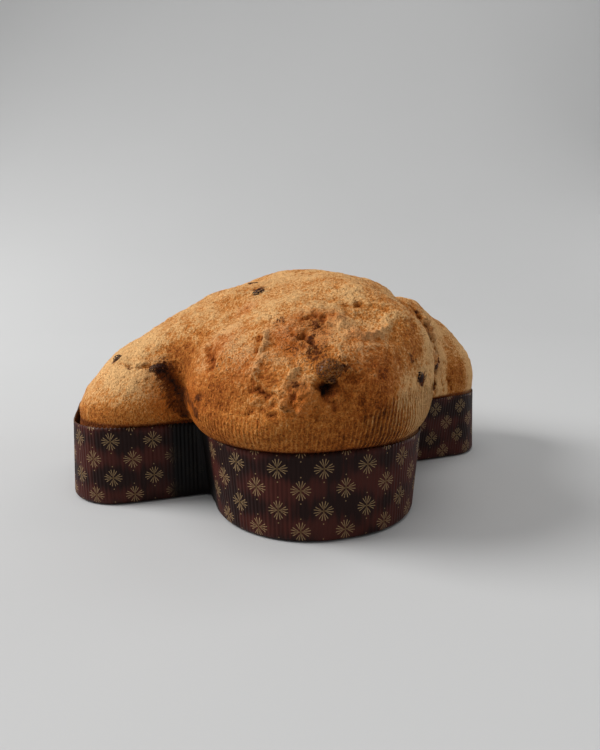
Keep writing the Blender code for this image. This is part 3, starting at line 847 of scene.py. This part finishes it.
# --- Materials --------------------------------------------------------------------------
class Look:
    """A material under construction, with short calls for the nodes it is made from."""

    def __init__(self, name):
        self.material = bpy.data.materials.new(name)
        self.material.use_nodes = True
        self.tree = self.material.node_tree
        self.shader = self.tree.nodes["Principled BSDF"]
        self.place = self.node("ShaderNodeTexCoord").outputs["Object"]

    def node(self, kind, inputs=None, **settings):
        item = self.tree.nodes.new(kind)
        for name, value in settings.items():
            setattr(item, name, value)
        for name, value in (inputs or {}).items():
            self.put(item.inputs[name], value)
        return item

    def put(self, socket, value):
        if isinstance(value, bpy.types.NodeSocket):
            self.tree.links.new(value, socket)
        else:
            socket.default_value = value

    def math(self, operation, *values, clamp=False):
        inputs = dict(enumerate(values))
        return self.node("ShaderNodeMath", inputs, operation=operation,
                         use_clamp=clamp).outputs[0]

    def sway(self, value, field, share):
        """The value moved both ways by a field, which does nothing where it is 0.5."""
        return self.math("MULTIPLY_ADD", self.math("SUBTRACT", field, 0.5), share, value)

    def length(self, x, y):
        squares = [self.math("POWER", part, 2.0) for part in (x, y)]
        return self.math("SQRT", self.math("ADD", *squares))

    def remap(self, value, low, high, to_low=0.0, to_high=1.0):
        inputs = {"Value": value, "From Min": low, "From Max": high, "To Min": to_low,
                  "To Max": to_high}
        return self.node("ShaderNodeMapRange", inputs,
                         interpolation_type="SMOOTHSTEP").outputs["Result"]

    def mark(self, name):
        return self.node("ShaderNodeAttribute", attribute_name=name).outputs["Fac"]

    def blend(self, share, first, second, mode="MIX"):
        item = self.node("ShaderNodeMix", {0: share}, data_type="RGBA", blend_type=mode)
        self.put(item.inputs[6], colour(first))
        self.put(item.inputs[7], colour(second))
        return item.outputs[2]

    def noise(self, size, detail=3.0, roughness=0.55, distortion=0.0, at=None):
        inputs = {"Vector": self.place if at is None else at, "Scale": 1.0 / size,
                  "Detail": detail, "Roughness": roughness, "Distortion": distortion}
        return self.node("ShaderNodeTexNoise", inputs).outputs["Fac"]

    def stretched(self, vector, scale):
        inputs = {"Vector": vector, "Scale": scale}
        return self.node("ShaderNodeMapping", inputs).outputs["Vector"]

    def shake(self, size, reach):
        """A small offset in all directions that changes over the given size."""
        field = self.node("ShaderNodeTexNoise", {"Vector": self.place, "Scale": 1.0 / size})
        return self.node("ShaderNodeVectorMath", {0: field.outputs["Color"], "Scale": reach},
                         operation="SCALE").outputs[0]

    def split(self, vector):
        return self.node("ShaderNodeSeparateXYZ", {"Vector": vector}).outputs

    def bump(self, height, distance, normal=None):
        inputs = {"Height": height, "Distance": distance, "Strength": 1.0}
        if normal is not None:
            inputs["Normal"] = normal
        return self.node("ShaderNodeBump", inputs).outputs["Normal"]

    def finish(self, base_colour, roughness, normal, **fixed):
        self.put(self.shader.inputs["Base Color"], base_colour)
        self.put(self.shader.inputs["Roughness"], roughness)
        self.put(self.shader.inputs["Normal"], normal)
        for name, value in fixed.items():
            self.shader.inputs[name.replace("_", " ")].default_value = value
        return self.material


def colour(value):
    return (*value, 1.0) if isinstance(value, tuple) else value


CRUST_PALE = (0.88, 0.50, 0.205)
CRUST_GOLD = (0.610, 0.214, 0.039)
CRUST_BROWN = (0.375, 0.097, 0.012)
CRUST_DEEP = (0.130, 0.030, 0.004)
CRUST_BURNT = (0.018, 0.008, 0.006)
CRUST_ORANGE = (0.560, 0.140, 0.014)
CRUST_TORN = (0.500, 0.155, 0.028)
# Painted shade, for the creases of the torn folds and for the crust's edge at the rim.
CRUST_CREASE_SHADE = (0.130, 0.022, 0.006)
PINK_TINT = (0.90, 0.70, 0.70)
# The tones between which each colour comes in, on sound crust and on burnt crust with its painted shade
# in grooves and holes.
SOUND_TONES = ((0.00, 0.40, CRUST_BROWN), (0.30, 0.68, CRUST_GOLD), (0.62, 1.05, CRUST_PALE))
BURNT_TONES = ((0.25, 0.62, CRUST_DEEP), (0.66, 1.05, CRUST_BURNT))
# The fields of noise on the crust: size, detail, roughness and distortion.
PATCHES = (0.024, 2.0)
MOTTLES = (0.0048, 3.0, 0.6, 0.4)
GRAIN = (0.0015, 3.0, 0.65, 0.4)
SPECKS = (0.0008, 2.0, 0.6, 0.3)
NET_SCALE = 520.0               # cells of the net of threads to a metre
DRAWN_SCALE = (900.0, 260.0, 1.0)       # fibres drawn upwards over the rim
DRAWN_FROM = (0.094, 0.066)     # heights between which the drawn fibres come in
# Painted shade along the crust's lower edge, where it meets the paper's rim under its overhang.
RIM_SHADE_HEIGHTS = (0.0530, 0.0508)    # heights between which the crust darkens at the rim


def crust_material():
    """Baked crust: pale and brown mottles, fibres, burnt places and a fluted lower edge, with painted
    light on its top and on the flanks facing the head, and painted shade in its hollows, creases,
    grooves and holes and at the rim.
    """
    look = Look("baked_crust")
    surface = look.node("ShaderNodeUVMap", uv_map="surface").outputs["UV"]
    _, _, height = look.split(look.place)
    across, _, _ = look.split(surface)
    patches, mottles = look.noise(*PATCHES), look.noise(*MOTTLES)
    grain, specks = look.noise(*GRAIN), look.noise(*SPECKS)
    drawn = look.noise(1.0, 3.0, 0.6, 0.4, at=look.stretched(surface, DRAWN_SCALE))
    drawn_share = look.math("MULTIPLY", look.remap(height, *DRAWN_FROM), 0.65)
    fibres = look.blend(drawn_share, grain, drawn)
    bent = look.node("ShaderNodeVectorMath", {0: look.place, 1: look.shake(0.004, 0.0012)},
                     operation="ADD").outputs[0]
    net = look.node("ShaderNodeTexVoronoi",
                    {"Vector": look.stretched(bent, (1.0, 1.0, 0.55)), "Scale": NET_SCALE},
                    feature="DISTANCE_TO_EDGE").outputs["Distance"]
    threads = look.remap(net, 0.16, 0.02)
    pits = look.remap(net, 0.10, 0.45)
    # painted shade in the crust's hollows, painted light on its raised parts
    hollow = look.math("MAXIMUM", look.mark("hollow"), 0.24)
    flute = look.math("COSINE", look.math("MULTIPLY", across, 2.0 * math.pi / FLUTE_PITCH))
    imprint = look.math("MULTIPLY", flute, look.mark("flute"))
    tone = look.mark("bake_and_light")
    for field, share in ((patches, 0.46), (mottles, 0.52), (fibres, 0.95), (specks, 0.75),
                         (hollow, -0.80)):
        tone = look.sway(tone, field, share)
    # the flutes' imprint also paints the colour: painted light on its crests and painted shade in its
    # valleys
    for part, share in ((threads, 0.12), (pits, -0.09), (imprint, 0.24)):
        tone = look.math("MULTIPLY_ADD", part, share, tone)
    base = CRUST_DEEP
    for low, high, tint in SOUND_TONES:
        base = look.blend(look.remap(tone, low, high), base, tint)
    base = look.blend(look.mark("pink"), base, look.blend(1.0, base, PINK_TINT, "MULTIPLY"))
    broken = look.math("MULTIPLY_ADD", mottles, 1.6, 0.2)
    orange = look.math("MULTIPLY", look.mark("orange"), broken)
    base = look.blend(look.math("MULTIPLY", orange, 0.9, clamp=True), base, CRUST_ORANGE)
    # painted shade: the deep parts of the torn folds take the dark crease colour
    folded = look.sway(hollow, grain, 0.5)
    split = look.blend(look.remap(folded, 0.38, 0.68), CRUST_TORN, CRUST_CREASE_SHADE)
    base = look.blend(look.math("MULTIPLY", look.mark("torn"), 0.85), base, split)
    # burnt crust, with painted shade in the grooves and the holes
    ragged = look.sway(look.sway(look.mark("burn_and_shade"), fibres, 1.5), mottles, 0.8)
    for low, high, tint in BURNT_TONES:
        base = look.blend(look.remap(ragged, low, high), base, tint)
    # painted shade along the crust's edge at the rim
    rim = look.math("MULTIPLY", look.remap(height, *RIM_SHADE_HEIGHTS), 0.75)
    base = look.blend(rim, base, CRUST_CREASE_SHADE)
    normal = None
    for part, depth in ((mottles, 0.0030), (fibres, 0.0018), (net, 0.0012), (specks, 0.0009),
                        (imprint, 0.0012)):
        normal = look.bump(part, depth, normal)
    roughness = look.math("SUBTRACT", 0.72, look.math("MULTIPLY", look.mark("orange"), 0.30))
    return look.finish(base, roughness, normal, Specular_IOR_Level=0.08)


PAPER_DARK = (0.0150, 0.0036, 0.0024)
PAPER_RED = (0.0620, 0.0125, 0.0080)
PAPER_RAW = (0.165, 0.085, 0.040)
# Painted shade: the paper in the notch between the tail and the near wing is darkened to near black.
PAPER_PAINTED_SHADE = (0.0016, 0.0012, 0.0012)
PAINTED_NOTCH_SHADE = ((0.906, 0.917), (0.032, 0.021))     # the darkest lengths, by the seam
STREAK_SCALE = (420.0, 22.0, 1.0)
PRINT_GOLD = (0.360, 0.235, 0.115)
PRINT_CORE = (0.230, 0.140, 0.055)
PRINT_ROW = 0.01155
PRINT_COLUMN = 0.0242           # distance between two starbursts of a row
PRINT_FIRST_ROW = 0.0066
# Where each length of the wall starts, along its outline, and the place of one of its starbursts.
PRINT_LENGTHS = ((0.0, 0.0545), (0.2245, 0.2732), (0.377, 0.3850), (0.605, 0.6104),
                 (0.780, 0.9030))
STROKES = (                     # start, end and half widths, in mm, about one arm of four
    ((0.3, 0.05), (5.15, 0.95), 0.10, 0.22),
    ((1.6, 0.70), (4.20, 2.30), 0.10, 0.22),
)
DOT_RADIUS = 0.34
DOT_RISE = 7.3
SOFT_EDGE = 0.10


def stroke_distance(look, x, y, start, end, thin, thick):
    """Distance in mm from a tapered stroke, from nodes for the folded x and y."""
    side = (end[0] - start[0], end[1] - start[1])
    squared = side[0] ** 2 + side[1] ** 2
    from_x = look.math("SUBTRACT", x, start[0])
    from_y = look.math("SUBTRACT", y, start[1])
    share = look.math("MULTIPLY", from_x, side[0] / squared)
    share = look.math("MULTIPLY_ADD", from_y, side[1] / squared, share, clamp=True)
    off_x = look.math("SUBTRACT", from_x, look.math("MULTIPLY", share, side[0]))
    off_y = look.math("SUBTRACT", from_y, look.math("MULTIPLY", share, side[1]))
    width = look.math("MULTIPLY_ADD", share, thick - thin, thin)
    return look.math("SUBTRACT", look.length(off_x, off_y), width)


def paper_material():
    """Dark fluted paper with a lattice of small gold starbursts and dots, and painted shade in the notch
    between the tail and the near wing.
    """
    look = Look("printed_paper_sheet")
    surface = look.node("ShaderNodeUVMap", uv_map="surface").outputs["UV"]
    across, up, _ = look.split(surface)
    first = PRINT_LENGTHS[0][1]
    for (_, before), (start, place) in zip(PRINT_LENGTHS[:-1], PRINT_LENGTHS[1:]):
        passed = look.math("GREATER_THAN", across, start)
        first = look.math("ADD", first, look.math("MULTIPLY", passed, place - before))
    along = look.math("DIVIDE", look.math("SUBTRACT", across, first), PRINT_COLUMN)
    rows = look.math("DIVIDE", look.math("SUBTRACT", up, PRINT_FIRST_ROW), PRINT_ROW)
    row = look.math("ROUND", rows)
    odd = look.math("MODULO", look.math("ADD", row, 8.0), 2.0)
    shifted = look.math("MULTIPLY_ADD", odd, -0.5, look.math("ADD", along, 0.5))
    column = look.math("ROUND", shifted)
    x = look.math("MULTIPLY", look.math("SUBTRACT", shifted, column), PRINT_COLUMN / MM)
    y = look.math("MULTIPLY", look.math("SUBTRACT", rows, row), PRINT_ROW / MM)
    x, y = look.math("ABSOLUTE", x), look.math("ABSOLUTE", y)
    long, short = look.math("MAXIMUM", x, y), look.math("MINIMUM", x, y)
    away = PRINT_COLUMN / MM
    for stroke in STROKES:
        away = look.math("MINIMUM", away, stroke_distance(look, long, short, *stroke))
    dot_x = look.math("SUBTRACT", x, 0.5 * PRINT_COLUMN / MM)
    dot_y = look.math("SUBTRACT", y, PRINT_ROW / MM - DOT_RISE)
    dot = look.math("SUBTRACT", look.length(dot_x, dot_y), DOT_RADIUS)
    away = look.math("MINIMUM", away, dot)
    ink = look.remap(away, SOFT_EDGE, -SOFT_EDGE)
    ink = look.math("MULTIPLY", ink, look.remap(look.noise(0.0016, 2.0), 0.22, 0.45, 0.55, 1.0))
    centre = look.remap(look.math("MAXIMUM", x, y), 2.4, 0.2)
    gold = look.blend(centre, PRINT_GOLD, PRINT_CORE)
    field = look.noise(0.022, 2.0, 0.5)
    streaks = look.noise(1.0, 2.0, 0.5, at=look.stretched(surface, STREAK_SCALE))
    band = look.math("COSINE", look.math("MULTIPLY", rows, math.pi))
    red = look.sway(look.math("MULTIPLY_ADD", band, 0.14, field), streaks, 0.5)
    paper = look.blend(look.remap(red, 0.36, 0.66), PAPER_DARK, PAPER_RED)
    printed = look.blend(ink, paper, gold)
    raw = look.remap(up, CASE_HEIGHT - 0.0004, CASE_HEIGHT + 0.0001)
    base = look.blend(raw, printed, PAPER_RAW)
    # painted shade in the notch, on both sides of the seam
    notch = look.math("ADD", *(look.remap(across, *length) for length in PAINTED_NOTCH_SHADE))
    base = look.blend(look.math("MULTIPLY", notch, 0.97, clamp=True), base, PAPER_PAINTED_SHADE)
    normal = look.bump(streaks, 0.00012)
    normal = look.bump(look.noise(0.0004, 2.0), 0.00003, normal)
    roughness = look.math("MULTIPLY_ADD", streaks, 0.16, 0.42)
    return look.finish(base, roughness, normal, Specular_IOR_Level=0.14)


# Per kind of fruit: dark and light colour, size of the mottles, roughness and gloss.
FRUIT_LOOKS = {
    "raisin": ((0.010, 0.0025, 0.0015), (0.050, 0.0120, 0.0060), 0.0018, 0.42, 0.14),
    "peel": ((0.080, 0.025, 0.006), (0.330, 0.130, 0.030), 0.0030, 0.32, 0.16),
}
FRUIT_SLOTS = {"raisin": "raisin", "peel": "candied_peel"}


def fruit_material(kind):
    dark, light, size, roughness, gloss = FRUIT_LOOKS[kind]
    look = Look(FRUIT_SLOTS[kind] + "_skin")
    skin = look.noise(size, 3.0, 0.55, 0.5)
    base = look.blend(look.remap(skin, 0.40, 0.68), dark, light)
    normal = look.bump(skin, 0.0004)
    return look.finish(base, look.math("MULTIPLY_ADD", skin, 0.25, roughness), normal,
                       Specular_IOR_Level=gloss)


# --- Stage ------------------------------------------------------------------------------
CAMERA_PLACE = (-0.1109, -0.3722, 0.1385)
CAMERA_HEADING = (0.3007, 0.9537)
CAMERA_DOWN = math.radians(10.75)
LENS = 31.8
SWEEP_FRONT = -2.6              # the backdrop's sheet, along the camera's heading
SWEEP_START = 0.8
SWEEP_RADIUS = 2.4
SWEEP_TOP = 4.0
SWEEP_HALF = 4.0
SWEEP_STEPS = 24
BACKDROP = (0.530, 0.530, 0.527)


def make_camera():
    data = bpy.data.cameras.new("camera")
    data.lens = LENS
    data.sensor_width = 36.0
    data.sensor_fit = "HORIZONTAL"
    data.clip_start = 0.01
    camera = add_object("camera", data)
    level = math.cos(CAMERA_DOWN)
    x, y = CAMERA_HEADING
    forward = Vector((x * level, y * level, -math.sin(CAMERA_DOWN)))
    camera.location = CAMERA_PLACE
    camera.rotation_euler = forward.to_track_quat("-Z", "Y").to_euler()
    bpy.context.scene.camera = camera


def make_floor():
    """One pale sheet: the floor that the cake stands on, swept up behind it."""
    profile = [(SWEEP_FRONT, 0.0)]
    for step in range(SWEEP_STEPS + 1):
        turn = 0.5 * math.pi * step / SWEEP_STEPS
        profile.append((SWEEP_START + SWEEP_RADIUS * math.sin(turn),
                        SWEEP_RADIUS * (1.0 - math.cos(turn))))
    profile.append((SWEEP_START + SWEEP_RADIUS, SWEEP_TOP))
    heading = Vector((*CAMERA_HEADING, 0.0)).normalized()
    aside = Vector((heading.y, -heading.x, 0.0))
    sheet = bmesh.new()
    before = None
    for away, up in profile:
        middle = heading * away + Vector((0.0, 0.0, up))
        pair = [sheet.verts.new(middle + aside * side) for side in (-SWEEP_HALF, SWEEP_HALF)]
        if before:
            sheet.faces.new((before[0], before[1], pair[1], pair[0]))
        before = pair
    mesh = bpy.data.meshes.new("floor")
    sheet.to_mesh(mesh)
    sheet.free()
    mesh.shade_smooth()
    look = Look("pale_floor")
    tint = look.blend(look.noise(0.4, 1.0), BACKDROP, tuple(0.98 * part for part in BACKDROP))
    mesh.materials.append(look.finish(tint, 0.85, look.bump(look.noise(0.002, 2.0), 0.00002),
                                      Specular_IOR_Level=0.2))
    add_object("floor", mesh)


WORLD_STRENGTH = 0.250
WORLD_COLOUR = (0.97, 0.985, 1.0, 1.0)
CAKE_MIDDLE = (0.0, 0.0, 0.05)
BACKDROP_MIDDLE = (1.3, 2.9, 0.9)
LIGHTS = (                      # name, place, target, size and power
    ("key", (-2.50, 0.75, 2.05), CAKE_MIDDLE, 1.6, 105.0),
    ("overhead", (-0.3, -0.5, 3.1), CAKE_MIDDLE, 2.4, 28.0),
    ("side", (2.60, 0.35, 0.75), CAKE_MIDDLE, 1.4, 12.5),
    ("backdrop", (1.7, 0.9, 2.7), BACKDROP_MIDDLE, 1.5, 12.0),
)


def area_light(name, place, target, size, power):
    data = bpy.data.lights.new(name, "AREA")
    data.shape = "DISK"
    data.size = size
    data.energy = power
    light = add_object(name, data)
    light.location = place
    aim = Vector(target) - Vector(place)
    light.rotation_euler = aim.to_track_quat("-Z", "Y").to_euler()


def make_lights():
    world = bpy.data.worlds.new("studio")
    world.use_nodes = True
    background = world.node_tree.nodes["Background"]
    background.inputs["Color"].default_value = WORLD_COLOUR
    background.inputs["Strength"].default_value = WORLD_STRENGTH
    bpy.context.scene.world = world
    for light in LIGHTS:
        area_light(*light)


# --- Assembly ---------------------------------------------------------------------------
def main():
    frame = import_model()
    cad_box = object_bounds()
    whole = ([float(part) for part in cad_box[0]], [float(part) for part in cad_box[1]])
    skins = {kind: fruit_material(kind) for kind in FRUIT_LOOKS}
    bread = make_bread(whole)
    bread.data.materials.append(crust_material())
    case = make_paper_case()
    case.data.materials.append(paper_material())
    dressed = [(bread, "bread", "crust"), (case, "paper_case", "printed_paper")]
    for node in sorted(frame["nodes"]):
        if node in ("bread", "paper_case"):
            continue
        kind = node.split("_")[0]
        item = make_fruit(frame, node, kind)
        item.data.materials.clear()
        item.data.materials.append(skins[kind])
        dressed.append((item, node, FRUIT_SLOTS[kind]))
    for item, node, slot in dressed:
        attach(item, "root")
        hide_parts(node)
    make_floor()
    make_lights()
    make_camera()
    bpy.context.scene.view_settings.view_transform = "Standard"


main()
